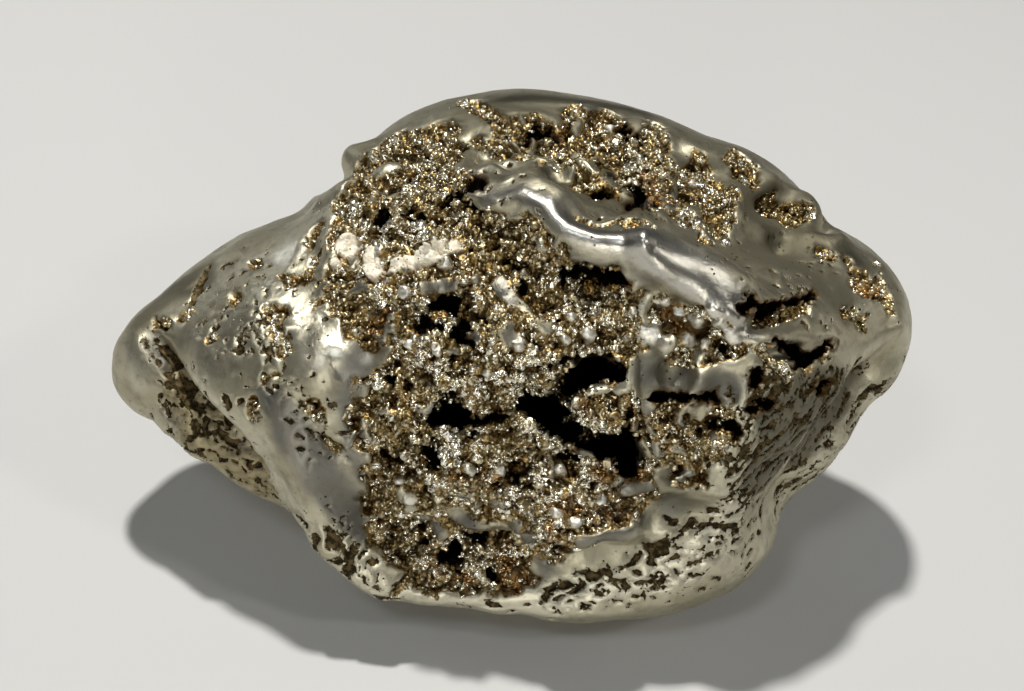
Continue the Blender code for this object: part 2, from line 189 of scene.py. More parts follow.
zones = {
    "granular": {
        "upper slope": [(372, 165, 24), (405, 150, 34), (436, 140, 24), (430, 175, 40), (420, 200, 50),
                        (370, 215, 44)],
        "near slope": [(340, 204, 12), (360, 190, 17), (385, 180, 18), (396, 174, 13)],
        "far slope": [(362, 158, 9), (376, 148, 9)],
        "crown 1": [(468, 103, 10), (490, 112, 13), (506, 128, 11), (522, 140, 8)],
        "crown 2": [(480, 146, 10), (510, 154, 12), (540, 160, 9)],
        "crown 3": [(545, 125, 15), (562, 140, 14), (572, 114, 11), (590, 122, 12), (592, 145, 14)],
        "crown 4": [(608, 122, 17), (615, 150, 22), (624, 180, 20), (602, 186, 11)],
        "valley edge": [(560, 163, 9), (580, 172, 12), (600, 188, 11)],
        "valley edge 2": [(545, 150, 11), (572, 160, 12), (598, 176, 12), (618, 196, 10)],
        "crown 5": [(656, 135, 18), (665, 165, 27), (660, 200, 22), (688, 222, 18)],
        "crown 5b": [(684, 172, 10), (690, 205, 15)],
        "crown 6": [(700, 165, 18), (722, 188, 20), (722, 216, 18), (702, 238, 9)],
        "crown 7": [(733, 160, 9), (752, 178, 11)],
        "crown 8": [(760, 205, 11), (790, 212, 14), (808, 214, 10)],
        "under the ridge": [(492, 216, 10), (526, 215, 9), (545, 233, 11), (560, 252, 10),
                            (582, 268, 9), (612, 274, 9)],
        "face top": [(345, 235, 30), (400, 240, 48), (450, 238, 42), (490, 240, 28), (520, 240, 26)],
        "face upper": [(390, 300, 52), (450, 300, 70), (520, 310, 60), (580, 325, 58), (625, 325, 32)],
        "face middle": [(420, 380, 46), (480, 400, 80), (560, 410, 70), (610, 430, 46)],
        "face lower": [(414, 460, 38), (470, 480, 78), (550, 490, 62), (615, 490, 42), (640, 490, 24)],
        "face left edge": [(350, 268, 24), (348, 300, 22), (352, 335, 20), (368, 372, 16), (375, 410, 14),
                           (386, 450, 16), (384, 490, 20), (384, 530, 20)],
        "face left edge 2": [(320, 238, 8), (313, 258, 10), (308, 278, 8), (322, 296, 9)],
        "left of the face": [(330, 352, 8), (345, 360, 7)],
        "left of the face 2": [(352, 420, 8), (360, 445, 8)],
        "face bottom": [(425, 540, 44), (470, 560, 36), (520, 560, 32), (560, 520, 36), (610, 510, 30)],
        "pocket": [(662, 318, 26), (700, 326, 28), (725, 342, 20), (680, 355, 22)],
        "right of the slot": [(662, 400, 14), (668, 440, 30), (700, 440, 30), (716, 420, 16), (690, 475, 18)],
        "crack floor": [(755, 325, 9), (780, 318, 8), (806, 305, 6)],
        "crack floor 2": [(764, 350, 8), (785, 362, 9), (806, 368, 6)],
        "nose": [(820, 247, 3), (830, 257, 4)], "nose 2": [(846, 262, 7), (857, 281, 11)],
        "nose edge": [(880, 266, 6), (886, 288, 10), (891, 312, 9)],
        "nose spots": [(846, 312, 7), (857, 314, 8)], "lobe 1": [(231, 298, 5), (237, 308, 3)],
        "lobe 2": [(264, 279, 3), (277, 276, 3), (290, 281, 4)],
        "lobe 3": [(264, 306, 3), (275, 310, 4), (286, 304, 3)],
        "lobe 4": [(270, 332, 5), (278, 345, 7), (290, 348, 5)],
        "lobe 5": [(264, 380, 3), (275, 374, 5), (284, 382, 3)], "lobe 6": [(308, 384, 4), (318, 380, 3)],
        "lobe 7": [(312, 408, 6), (320, 420, 5)], "lobe 8": [(322, 436, 6), (334, 448, 5), (346, 452, 4)],
        "lobe 9": [(251, 404, 3), (257, 418, 4)], "lobe 10": [(250, 262, 3), (258, 266, 3)],
        "ridge spots": [(617, 243, 6), (598, 236, 4)],
        "band spots": [(630, 218, 5), (640, 228, 4), (520, 222, 6), (533, 214, 4)],
        "snout patch": [(154, 320, 4), (163, 328, 4)],
        "snout spots": [(186, 316, 4)], "snout spots 2": [(208, 338, 3)],
        "notch": [(320, 222, 8), (312, 240, 6)],
    },
    "worn": {
        "front ridge": [(486, 197, 4), (520, 194, 6), (549, 210, 8), (575, 232, 11), (605, 241, 13),
                        (625, 243, 13), (660, 260, 18), (700, 279, 18), (735, 304, 14), (749, 335, 7)],
        "lobe edge": [(330, 330, 12), (338, 350, 12), (345, 372, 12)],
        "left smooth": [(348, 350, 11), (362, 366, 10), (382, 358, 8)],
        "slot's right side": [(644, 374, 10), (668, 380, 12)], "right side 2": [(652, 410, 9)],
        "right side 3": [(634, 430, 5)], "right side 4": [(650, 452, 5), (652, 464, 4)],
        "dark patch": [(705, 386, 13), (728, 388, 18)],
        "lower ledge": [(625, 490, 6), (650, 488, 7)], "right of the ledge": [(690, 498, 12)],
        "ledge edge": [(580, 541, 7), (612, 538, 8), (640, 526, 7), (668, 508, 7)],
        "left nubs": [(436, 524, 7), (442, 533, 7)], "left nub 2": [(462, 516, 8), (472, 526, 7)],
        "bottom nub": [(540, 566, 11), (552, 572, 10)], "bottom nub 2": [(530, 540, 9)],
        "upper tops": [(500, 285, 9), (512, 300, 7), (545, 328, 7)],
        "upper tops 2": [(425, 288, 8), (445, 286, 8)],
    },
    "trough": {        # rough brownish metal without bright grains
        "snout": [(168, 366, 10), (182, 392, 20), (205, 425, 28), (238, 458, 26), (265, 495, 16)],
    },
    "gash": {          # shallow brown gashes
        "lobe gash": [(208, 268, 3), (200, 284, 6), (192, 303, 3)],
        "snout 1": [(164, 350, 6), (172, 358, 6), (180, 366, 5)],
        "snout 2": [(168, 384, 4), (184, 384, 8), (194, 390, 6)], "snout 3": [(188, 402, 6), (200, 408, 5)],
        "snout 4": [(155, 414, 3)], "snout 5": [(215, 432, 4)], "snout 6": [(228, 440, 4), (236, 448, 3)],
        "low left": [(323, 523, 2), (334, 536, 4), (348, 551, 3)],
        "low rim 1": [(316, 534, 3), (322, 546, 3)], "low rim 2": [(380, 583, 2), (396, 590, 3)],
        "right dash": [(706, 524, 3), (722, 527, 4), (738, 524, 3)],
        "right dash 2": [(580, 573, 3), (596, 576, 6), (608, 573, 4)],
        "right low": [(648, 546, 5), (660, 552, 9), (666, 540, 5), (650, 562, 3)],
        "right low 2": [(628, 566, 3), (640, 556, 4)], "right low 3": [(548, 590, 3), (566, 584, 4)],
    },
    "tarnish_and_shade": {       # darker metal: partly tarnish, partly painted shade and painted dark reflection, as under the ridge, on the left lobe and beside the slot
        "under the ridge": [(550, 246, 6), (566, 260, 9), (590, 266, 9), (620, 266, 8), (650, 280, 8)],
        "left lobe": [(268, 398, 14), (290, 430, 22), (320, 470, 26), (345, 505, 22), (362, 536, 10)],
        "left lobe 2": [(362, 360, 16), (345, 375, 14), (352, 430, 14), (365, 480, 10)],
        "snout start": [(150, 344, 10), (164, 364, 9)],
        "ledge": [(622, 490, 8), (650, 488, 9)], "dark patch": [(705, 386, 14), (735, 385, 16)],
        "ledge edge": [(575, 542, 8), (610, 538, 9), (640, 524, 8), (672, 506, 7)],
        "upper tops": [(500, 285, 12), (512, 302, 10)], "upper top 2": [(430, 286, 10), (446, 286, 10)],
        "right of the slot": [(648, 372, 14), (690, 378, 12)], "right of the slot 2": [(650, 420, 14)],
        "left nubs": [(440, 528, 12), (468, 522, 14)], "bottom nubs": [(530, 540, 12), (546, 568, 14)],
    },
    "pale": {          # brighter grains, partly painted light where the lower face and the pocket lie in shade
        "crown": [(604, 120, 12), (618, 150, 16), (626, 180, 12)],
        "crown 2": [(668, 170, 14), (700, 190, 18), (690, 215, 14)],
        "lower": [(440, 470, 30), (480, 450, 30), (540, 500, 34), (600, 500, 22)],
        "bottom": [(430, 545, 26), (480, 570, 24), (540, 560, 26)],
        "middle": [(400, 355, 16), (470, 370, 22), (530, 380, 22)],
        "upper": [(560, 320, 18), (600, 330, 18)], "top": [(340, 240, 16), (380, 230, 14), (440, 225, 16)],
        "pocket": [(662, 318, 20), (696, 320, 22), (722, 342, 16), (680, 350, 16)],
        "lip under the slot": [(534, 430, 6), (556, 450, 7), (580, 462, 7), (606, 468, 7)],
        "island rim": [(566, 404, 5), (584, 424, 6), (606, 430, 6)],
    },
    "burnish_and_sheen": {       # paler metal: partly burnish, partly painted reflection of the bright floor along the lower rims and painted sheen on the left lobe and the snout tip
        "snout tip": [(130, 358, 15), (142, 384, 12)],
        "left lobe": [(300, 330, 22), (320, 352, 26)], "left lobe top": [(255, 262, 14), (285, 252, 18)],
        "left lobe middle": [(270, 290, 16), (296, 296, 12)],
        "bottom rim": [(330, 556, 12), (420, 598, 14), (500, 606, 14), (560, 606, 16)],
        "lower right": [(600, 590, 18), (660, 580, 20), (720, 540, 26), (740, 510, 14)],
        "left rim": [(262, 452, 12), (285, 490, 13), (308, 530, 13)],
        "snout ridge": [(160, 338, 5), (190, 378, 6), (225, 412, 8), (245, 440, 8)],
    },
    "calm": {          # evened out before anything else
        "band": [(500, 178, 14), (560, 190, 20), (620, 212, 18), (680, 243, 16), (740, 260, 24),
                 (800, 262, 34)],
        "crown": [(480, 120, 24), (540, 130, 30), (600, 140, 34), (650, 160, 36), (700, 185, 34),
                  (750, 200, 28), (790, 215, 18)],
        "right lobe": [(830, 300, 56), (860, 340, 40)],
        "left lobe": [(240, 290, 44), (280, 270, 34)], "left lobe 2": [(230, 340, 30), (300, 330, 36)],
        "left lobe 3": [(290, 380, 40), (320, 430, 44), (345, 480, 34)],
        "ledge": [(650, 508, 20), (680, 512, 22), (705, 500, 20)],
    },
    "matte_and_shade": {         # metal that is worn dull, without a bright reflection; its darker colour is partly painted shade
        "band": [(490, 176, 12), (540, 180, 20), (590, 196, 24), (640, 212, 22), (690, 240, 24),
                 (740, 262, 28), (800, 262, 40), (830, 285, 34)],
        "crown": [(470, 115, 26), (540, 120, 40), (600, 140, 46), (660, 160, 50), (720, 185, 46),
                  (790, 215, 34)],
        "flank": [(790, 410, 44), (830, 400, 36), (770, 460, 44)],
        "flank edge": [(872, 386, 20), (856, 410, 26), (838, 440, 28), (815, 475, 24)],
        "snout start": [(152, 346, 12), (168, 368, 12)],
        "right of the slot": [(650, 368, 17), (690, 376, 15), (722, 384, 18)],
        "ledge": [(645, 492, 12), (680, 500, 14), (706, 500, 10)],
        "left smooth": [(352, 354, 12), (368, 364, 12), (388, 356, 9)],
        "snout top": [(140, 320, 14), (170, 295, 20), (200, 275, 20)],
    },
    "polish": {        # metal that is rubbed smooth
        "lobe": [(318, 340, 14), (336, 348, 13)], "lobe top": [(287, 254, 15)],
    },
    "shaded": {        # painted shade: the darkest colour, laid on dull metal that catches too much light
        "valley crest": [(545, 168, 10), (575, 176, 10), (600, 190, 9)],
        "under the slot": [(664, 478, 10), (690, 486, 9)],
        "right of the slot": [(650, 368, 13), (690, 376, 11), (722, 384, 14)],
        "ledge": [(645, 492, 10), (680, 500, 11)], "left smooth": [(356, 356, 9), (384, 358, 9)],
        "crown rim": [(480, 108, 14), (520, 98, 12), (560, 98, 12), (600, 104, 12), (640, 112, 10)],
        "band": [(500, 176, 10), (545, 184, 14), (590, 198, 16), (640, 215, 14)],
        "lobe top": [(768, 236, 14), (800, 238, 20), (832, 246, 17), (855, 262, 12)],
        "snout top": [(170, 290, 14), (200, 282, 14)],
    },
    "rust": {
        "crown 1": [(606, 118, 9)], "crown 2": [(690, 150, 14)], "crown 3": [(660, 200, 16)],
        "crown 4": [(700, 240, 10)], "crown 5": [(560, 132, 10)], "crown 6": [(650, 175, 12)],
        "face left": [(380, 320, 14), (368, 330, 8)], "face low": [(504, 556, 14), (512, 582, 18)],
        "face bottom": [(440, 560, 12), (470, 585, 8)], "face centre": [(455, 480, 10), (500, 480, 8)],
        "slot side": [(600, 470, 12), (640, 480, 10)], "pocket": [(670, 308, 14), (690, 332, 14)],
        "lower": [(560, 545, 12), (530, 500, 9), (620, 515, 10)], "crack": [(760, 328, 8), (775, 345, 8)],
        "island": [(590, 402, 10)], "nose": [(856, 285, 6), (886, 295, 8)],
    },
    "cream": {
        "vein": [(392, 266, 8), (410, 260, 10), (432, 250, 12), (454, 243, 9)],
        "knob 1": [(345, 245, 12)], "knob 2": [(369, 254, 8), (370, 270, 9)], "knob 3": [(335, 262, 6)],
    },
    "hole": {
        "slot": [(528, 406, 9), (546, 408, 11), (560, 424, 12), (580, 440, 9), (606, 446, 9), (626, 444, 10)],
        "slot tail": [(626, 432, 7), (628, 452, 11), (627, 466, 9)],
        "slot roof": [(566, 392, 7), (578, 374, 12), (600, 366, 11), (616, 374, 7)],
        "left": [(438, 418, 8), (450, 412, 12), (460, 418, 9)], "left tail": [(472, 421, 5), (495, 420, 4)],
        "upper 1": [(433, 304, 5), (444, 303, 7), (452, 304, 5)],
        "upper 2": [(420, 328, 6), (428, 322, 7), (438, 322, 6)], "upper 3": [(461, 324, 7), (459, 336, 8)],
        "ridge": [(507, 264, 3), (516, 268, 4)], "left pit": [(390, 379, 5), (397, 377, 4)],
        "left lower": [(424, 455, 5), (430, 464, 8)], "low": [(466, 541, 5), (480, 540, 7)],
        "low 2": [(442, 560, 6), (455, 557, 8)],
        "under the ridge": [(562, 276, 6), (585, 278, 8), (605, 280, 7), (625, 284, 6)],
        "right pit": [(662, 398, 5), (684, 399, 6)], "right pit 2": [(692, 400, 5), (713, 398, 6)],
        "right jag": [(688, 422, 4), (706, 426, 5), (722, 424, 5), (738, 434, 5)],
        "crack": [(746, 312, 6), (750, 300, 6), (765, 310, 7), (788, 302, 5), (812, 296, 4)],
        "crack 2": [(780, 344, 4), (796, 354, 5), (803, 361, 5), (818, 354, 5), (829, 345, 5)],
        "crown start": [(444, 198, 6), (460, 188, 8), (478, 180, 7)],
        "crown": [(596, 188, 6), (610, 192, 5)], "crown 2": [(636, 190, 6), (650, 200, 6), (628, 206, 4)],
        "crown 3": [(535, 132, 5), (550, 128, 5)], "crown 4": [(622, 128, 4), (640, 140, 4)],
        "slope": [(378, 218, 7), (386, 208, 6)], "slope 2": [(398, 208, 3), (410, 206, 4)],
        "right blob": [(754, 411, 6), (772, 405, 6)], "right blob 2": [(757, 386, 5), (760, 374, 5)],
        "right blob 3": [(820, 390, 4), (831, 382, 4)],
    },
}

# smooth knobs that stand up among the grains: how high, and x, y, radius of each
knobs = {
    0.5: [(662, 302, 8), (680, 312, 8), (714, 308, 8), (688, 340, 9), (720, 322, 8), (652, 334, 10),
          (697, 320, 9), (590, 333, 9), (445, 263, 8), (405, 294, 8), (600, 500, 8), (575, 522, 7),
          (556, 512, 7)],
    0.4: [(664, 344, 9), (705, 346, 7), (732, 335, 9), (566, 341, 6), (602, 354, 6), (572, 316, 6),
          (636, 312, 6), (378, 246, 6), (436, 350, 6), (408, 344, 6), (590, 505, 5), (532, 512, 6),
          (500, 470, 6), (470, 470, 6), (402, 455, 6), (410, 500, 7), (398, 480, 6), (575, 400, 7),
          (520, 345, 7), (486, 372, 6), (560, 470, 7)],
    0.3: [(610, 128, 6), (628, 182, 5), (690, 184, 6)],
}

# slow swells and dips that the solid is too coarse for: a stroke, and how far its middle moves
mouldings = {
    "flank edge": ([(858, 404, 30), (842, 432, 36), (822, 466, 38), (798, 496, 30)], -2.5),
    "flank edge 2": ([(892, 362, 18), (880, 380, 20)], -1.6),
    "lobe notch": ([(313, 248, 14), (303, 272, 12)], -0.7),
    "snout's underside": ([(172, 424, 16), (196, 444, 16)], 1.0),
    "left lower rim": ([(325, 545, 14), (350, 562, 16), (385, 582, 14)], 1.0),
    "bottom rim": ([(372, 578, 24), (410, 592, 26), (450, 598, 26), (490, 602, 24)], 0.6),
    "band bump": ([(560, 172, 12), (576, 175, 13), (592, 186, 13)], -1.1),
    "behind the ridge": ([(520, 182, 12), (560, 200, 16), (600, 222, 16), (650, 240, 16), (700, 260, 16),
                          (740, 282, 14)], 0.9),
    "slot's right side": ([(644, 300, 9), (644, 350, 10), (648, 410, 10), (652, 465, 10)], -0.9),
    "ridge crest": ([(497, 204, 6), (522, 198, 8), (546, 211, 9), (566, 230, 9), (595, 240, 9),
                     (636, 244, 9)], 0.6),
    "ridge crest 2": ([(640, 250, 10), (662, 270, 13), (695, 290, 14), (728, 312, 12)], 0.9),
    "lobe swell": ([(328, 367, 25)], 1.4),
}

# granular ground on the sides that the photograph doesn't show: x, y, z, radius
hiddenGranular = {
    "back hollow": [(-12, 20, 24, 6), (-3, 21, 19, 8), (8, 21, 18, 8), (16, 18, 20, 6)],
    "under the snout": [(-24, 4, 8, 3), (-19, 7, 5, 3)],
}

# where pitted ground curves out of the photograph's sight
hiddenPitted = {
    "right flank": [(33, -1, 21, 3.0), (30.5, -4.5, 17.5, 4.0), (28, -7, 13.5, 3.5), (25, -9, 10, 3.0)],
}

# the skin

skinSet = {
    "calmVoxel": 0.45,
    "calmRounds": 80,
    "voxel": 0.21,
    "voxelRounds": 6,
    "faces": 192000,
    "wearRounds": 150,         # how far the worn metal is smoothed
    "ragged": (2.2, 1.1),      # how uneven the edge of the granular ground is: spacing, reach
    "fine": 0.7,               # spacing of the finer unevenness
    "knobBend": 0.35,          # keeps the knobs from being round
    "islands": (1.7, 0.09),    # worn islands among the grains: spacing, share
    "hollows": (1.5, 0.13),    # black gaps among the grains: spacing, share
    "granularSink": 0.2,
    "creamRise": 0.28,
    "lumps": {"large": (2.3, 0.7), "small": (1.05, 0.35)},   # spacing, height
    "hammered": (3.2, 0.06),   # slow waves on the worn metal: spacing, height
    "hole": (-0.2, 0.45, 1.1),     # where its wall starts and ends, depth
    "hollow": (-0.15, 0.35, 0.7),
    "pit": (-0.06, 0.2, 0.34),
    "seed": 11,
}


def withSteps(mesh, steps, weights=None):
    # the mesh after some modifiers, with a weight for each point if given
    carrier = put("carrier", mesh)
    if weights is not None:
        group = carrier.vertex_groups.new(name="worn")
        levels = 5
        for level in range(1, levels + 1):
            members = np.flatnonzero(np.round(weights * levels) == level)
            group.add(members.tolist(), level / levels, "REPLACE")
    for kind, settings in steps:
        step = carrier.modifiers.new(kind, kind)
        for key, value in settings.items():
            setattr(step, key, value)
    graph = bpy.context.evaluated_depsgraph_get()
    result = bpy.data.meshes.new_from_object(carrier.evaluated_get(graph))
    bpy.data.objects.remove(carrier)
    return result


def remeshing(size):
    return "REMESH", {"mode": "VOXEL", "voxel_size": size * mm}


def smoothing(rounds, group=""):
    return "SMOOTH", {"factor": 0.5, "iterations": rounds, "vertex_group": group}


def readOut(mesh, what):
    values = np.empty(len(mesh.vertices) * 3)
    mesh.vertices.foreach_get(what, values)
    return values.reshape(-1, 3)


def fractal(points, spacing, octaves=3, roughness=1.0):
    return np.array([noise.fractal(Vector(p), roughness, 2.0, octaves) for p in points / (spacing * mm)])


def patches(values, among, share):
    # above 0 in a share of the points that are looked among
    return values - np.quantile(values[among], 1.0 - share)


def zoneInside(points, name):
    ropes = landedAll(zones[name].values())
    if name == "granular":
        ropes += [metres(rope) for rope in hiddenGranular.values()]
    return inside(points, ropes)


def addLayer(mesh, name, values):
    layer = mesh.attributes.new(name, "FLOAT", "POINT")
    layer.data.foreach_set("value", values.astype(np.float32))


coarse = withSteps(welded, [remeshing(skinSet["calmVoxel"])])
calm = smoothStep(zoneInside(readOut(coarse, "co"), "calm"), -0.5, 1.5)
coarse = withSteps(coarse, [smoothing(skinSet["calmRounds"], "worn")], calm)
skinMesh = withSteps(coarse, [remeshing(skinSet["voxel"]), smoothing(skinSet["voxelRounds"])])
points = readOut(skinMesh, "co")
print("skin remeshed:", len(points), "points")

# how ragged the edge of each zone is, and how far inside it the zone starts and is full
zoneEdges = {
    "pale": (1.0, -0.6, 0.6), "rust": (1.0, -0.2, 0.6), "granular": (1.0, 0.2, 0.8),
    "tarnish_and_shade": (0.5, -0.7, 0.8), "burnish_and_sheen": (0.5, -0.7, 0.8), "shaded": (0.3, -0.8, 0.8),
    "cream": (0.35, -0.05, 0.15),
}

# each field is millimetres inside a kind of ground, and the finish draws its edge where the field is 0
ragged = fractal(points, skinSet["ragged"][0], 4) * skinSet["ragged"][1]
fine = fractal(points, skinSet["fine"])
knobRopes = {height: landedAll([[knob] for knob in row]) for height, row in knobs.items()}
bent = np.stack([fine, ragged, -fine], 1) * (skinSet["knobBend"] * mm)
knobIn = inside(points + bent, sum(knobRopes.values(), []))
wornIn = zoneInside(points, "worn") + ragged * 0.3
granularIn = np.minimum(zoneInside(points, "granular") + ragged, -np.maximum(wornIn, knobIn))
ground = np.flatnonzero(granularIn > 0)
islands = patches(fractal(points, skinSet["islands"][0], 4), ground, skinSet["islands"][1]) * 1.5
shares = {name: smoothStep(zoneInside(points, name) + ragged * waver, low, high)
          for name, (waver, low, high) in zoneEdges.items()}
slopes = zones["granular"]
unbroken = landedAll([zones["calm"]["crown"], slopes["upper slope"], slopes["near slope"]])
islands -= np.maximum(shares["pale"], smoothStep(inside(points, unbroken), -1.0, 0.5)) * 0.6
granularIn = np.minimum(granularIn, -islands)
troughIn = np.minimum(zoneInside(points, "trough") + ragged, -granularIn)
holeIn = drawnInside(points, zones["hole"].values()) + fine * 0.5 + ragged * 0.25
ground = np.flatnonzero(granularIn > 0)
elsewhere = points + 0.05      # so that the hollows don't follow the islands
hollowIn = patches(fractal(elsewhere, skinSet["hollows"][0], 4, 0.7), ground, skinSet["hollows"][1]) * 1.2
hollowIn = np.minimum(hollowIn, granularIn - 0.15)
hollowIn = np.minimum(hollowIn, -zoneInside(points, "cream"))
granular = smoothStep(granularIn, -0.1, 0.25)
trough = smoothStep(troughIn, -0.1, 0.3)
# worn islands among the grains take the darker colour too, partly as painted shade
islandTarnishAndShade = shares["granular"] * 0.7 * smoothStep(islands, -0.05, 0.1)
shares["tarnish_and_shade"] = np.maximum(shares["tarnish_and_shade"], islandTarnishAndShade)
ridgeIn = inside(points, landedAll([zones["worn"]["front ridge"]]))
polishedIn = np.maximum(ridgeIn, zoneInside(points, "polish"))
# the dull metal's rough finish is real, its darker colour partly painted shade
matteAndShadeIn = zoneInside(points, "matte_and_shade") + ragged * 0.3
shares["matte_and_shade"] = smoothStep(np.minimum(matteAndShadeIn, 0.3 - polishedIn), -0.4, 0.6)
print("zones found")

# the worn metal is smoothed, so that only its own pits are left in it
wear = (1.0 - granular) * (1.0 - trough) * (1.0 - 0.7 * smoothStep(islands, -0.2, 0.2))
skinMesh = withSteps(skinMesh, [smoothing(skinSet["wearRounds"], "worn")], wear)
points = readOut(skinMesh, "co")
normals = readOut(skinMesh, "normal")


cellSet = {"width": 1.25, "roundness": 0.6, "seam": 0.25, "level": 0.6, "groove": 0.5}


def cellular(points, spacing, chosen):
    # rounded cells: how far up its dome each point is, and how near a seam between two
    dome = np.zeros(len(points))
    seam = np.zeros(len(points))
    for index in chosen:
        distances = noise.voronoi(Vector(points[index] / (spacing * mm)))[0]
        dome[index] = max(0.0, 1.0 - distances[0] * cellSet["width"]) ** cellSet["roundness"]
        seam[index] = max(0.0, 1.0 - (distances[1] - distances[0]) / cellSet["seam"])
    return dome, seam


rise = np.zeros(len(points))
# the seams between the lumps, painted dark below as shade
seamShade = np.zeros(len(points))
grainy = np.maximum(granular, trough * 0.35)
chosen = np.flatnonzero(grainy > 0.02)
for name, (spacing, height) in skinSet["lumps"].items():
    dome, seam = cellular(points, spacing, chosen)
    rise += grainy * (dome - cellSet["level"] - seam * cellSet["groove"]) * height
    seamShade = np.maximum(seamShade, seam * grainy)
seamShade *= smoothStep(fine, -0.3, 0.1) * (1.0 - shares["cream"])
rise -= granular * skinSet["granularSink"]
rise += shares["cream"] * skinSet["creamRise"]
slow = fractal(points, skinSet["hammered"][0], 2)
rise += (1.0 - grainy) * slow * skinSet["hammered"][1]
holes = smoothStep(holeIn, *skinSet["hole"][:2])
rise -= holes * skinSet["hole"][2]
rise -= smoothStep(hollowIn, *skinSet["hollow"][:2]) * skinSet["hollow"][2] * (1.0 - holes)
for stroke, height in mouldings.values():
    rope = landedStroke(stroke)
    widest = max(knot[3] for knot in rope) / mm
    rise += smoothStep(inside(points, [rope]), -widest, widest) * height
for height, ropes in knobRopes.items():
    for rope in ropes:
        away = np.linalg.norm(points + bent - rope[0][:3], axis=1) / rope[0][3]
        rise += np.sqrt(np.maximum(0.0, 1.0 - away ** 2)) * height * (0.9 + fine * 0.5)

# pits in the worn metal: number, half the width, length as a share of it, way in degrees, spread, places
pitSet = {
    "right flank": (110, (0.12, 0.3), (1.2, 3.2), 52, 28, [
        (745, 395, 22), (770, 420, 40), (800, 400, 45), (830, 400, 40), (860, 385, 24), (790, 470, 36),
        (760, 480, 36), (730, 460, 24)]),
    "right underside": (50, (0.1, 0.26), (1.2, 3.6), 20, 40, [
        (720, 520, 40), (680, 560, 40), (640, 590, 26), (760, 540, 36), (600, 590, 22), (560, 600, 16)]),
    "left underside": (60, (0.1, 0.26), (1.2, 3.4), -50, 30, [
        (160, 440, 16), (205, 460, 22), (240, 480, 20), (270, 510, 16), (300, 545, 20), (340, 560, 26),
        (390, 585, 16)]),
    "trough": (60, (0.1, 0.26), (1.0, 2.0), -45, 50, [
        (160, 350, 16), (185, 390, 24), (215, 420, 24), (245, 455, 14)]),
    "left lobe": (120, (0.07, 0.18), (1.2, 3.0), -40, 60, [
        (280, 300, 50), (270, 370, 46), (300, 410, 34), (320, 440, 24), (220, 310, 34), (240, 250, 30)]),
    "crown band": (130, (0.07, 0.18), (1.0, 2.6), -10, 60, [
        (500, 180, 22), (560, 195, 26), (640, 230, 26), (720, 260, 34), (780, 270, 34), (830, 300, 40)]),
}

# ground where ragged pits run together: share of it that is pitted, spacing, stretch, way, stroke
pittedGround = {
    "right flank": (0.34, 0.6, 2.2, 50, [
        (760, 378, 20), (775, 420, 50), (830, 410, 46), (868, 378, 16), (780, 480, 44), (740, 470, 26),
        (852, 424, 24), (834, 452, 22), (812, 480, 20), (874, 382, 24), (858, 400, 26)]),
    "right underside": (0.20, 0.55, 2.4, 24, [
        (735, 520, 34), (700, 550, 30), (650, 575, 34), (600, 588, 26), (560, 596, 18)]),
    "left underside": (0.27, 0.6, 1.9, -40, [
        (165, 385, 16), (190, 418, 34), (225, 455, 34), (262, 490, 22), (345, 560, 16)]),
    "left rim": (0.26, 0.55, 1.5, -45, [(320, 520, 12), (345, 545, 14), (372, 570, 10)]),
    "bottom rim": (0.12, 0.8, 2.4, 0, [(390, 590, 14), (440, 600, 12), (500, 606, 12), (540, 612, 12)]),
    "left lobe": (0.10, 0.7, 1.6, -40, [(285, 385, 34), (325, 440, 16), (250, 310, 40), (220, 330, 30)]),
}


def imageWay(normal, degrees):
    # a direction drawn in the photograph, laid on the surface
    angle = math.radians(degrees)
    way = viewRight * math.cos(angle) + viewUp * math.sin(angle)
    way = way - normal * way.dot(normal)
    return way.normalized()


def raggedPits(points, name):
    # noise that is stretched along the pits, cut so that a share of the ground lies below it
    share, spacing, stretch, degrees, stroke = pittedGround[name]
    ropes = landedAll([stroke])
    if name in hiddenPitted:
        ropes.append(metres(hiddenPitted[name]))
    ground = inside(points, ropes) + ragged
    near = np.flatnonzero(ground > 0)
    normal = Vector(normals[near].mean(axis=0)).normalized()
    way = imageWay(normal, degrees)
    across = normal.cross(way)
    turned = np.stack([points[near] @ np.array(way) / stretch, points[near] @ np.array(across),
                       points[near] @ np.array(normal)], 1)
    values = patches(fractal(turned, spacing, 4, 0.45), np.arange(len(near)), share)
    found = np.full(len(points), -1.0)
    found[near] = np.minimum(values * 0.9, ground[near] * 0.5)
    return found


def scatteredPits(dice):
    found = []
    for count, widths, lengths, degrees, spread, places in pitSet.values():
        areas = [place[2] ** 2 for place in places]
        for _ in range(count):
            x, y, radius = dice.choices(places, areas)[0]
            turn = dice.uniform(0, 2 * math.pi)
            away = radius * math.sqrt(dice.random()) * 1.1
            spot, normal = landed(x + away * math.cos(turn), y + away * math.sin(turn))
            if spot is None:
                continue
            wide = dice.uniform(*widths)
            way = imageWay(normal, degrees + dice.gauss(0, spread))
            found.append((spot, normal, way, wide, wide * dice.uniform(*lengths)))
    return found


# the same on the sides that the photograph doesn't show
hiddenPits = {"count": 1000, "wide": (0.1, 0.32), "long": (1.0, 2.8)}


def hiddenSidePits(dice, points, normals):
    found = []
    away = np.flatnonzero((normals @ np.array(viewBack) < 0.15) & (points[:, 2] > 0.4 * mm))
    for _ in range(hiddenPits["count"]):
        index = away[dice.randrange(len(away))]
        if slow[index] < dice.uniform(-0.3, 0.5):      # they gather in patches
            continue
        normal = Vector(normals[index])
        way = normal.orthogonal().normalized()
        way.rotate(Matrix.Rotation(dice.uniform(0, math.pi), 3, normal))
        wide = dice.uniform(*hiddenPits["wide"])
        found.append((Vector(points[index]), normal, way, wide, wide * dice.uniform(*hiddenPits["long"])))
    return found


def lookupOf(places):
    tree = KDTree(len(places))
    for index, place in enumerate(places):
        tree.insert(place, index)
    tree.balance()
    return tree


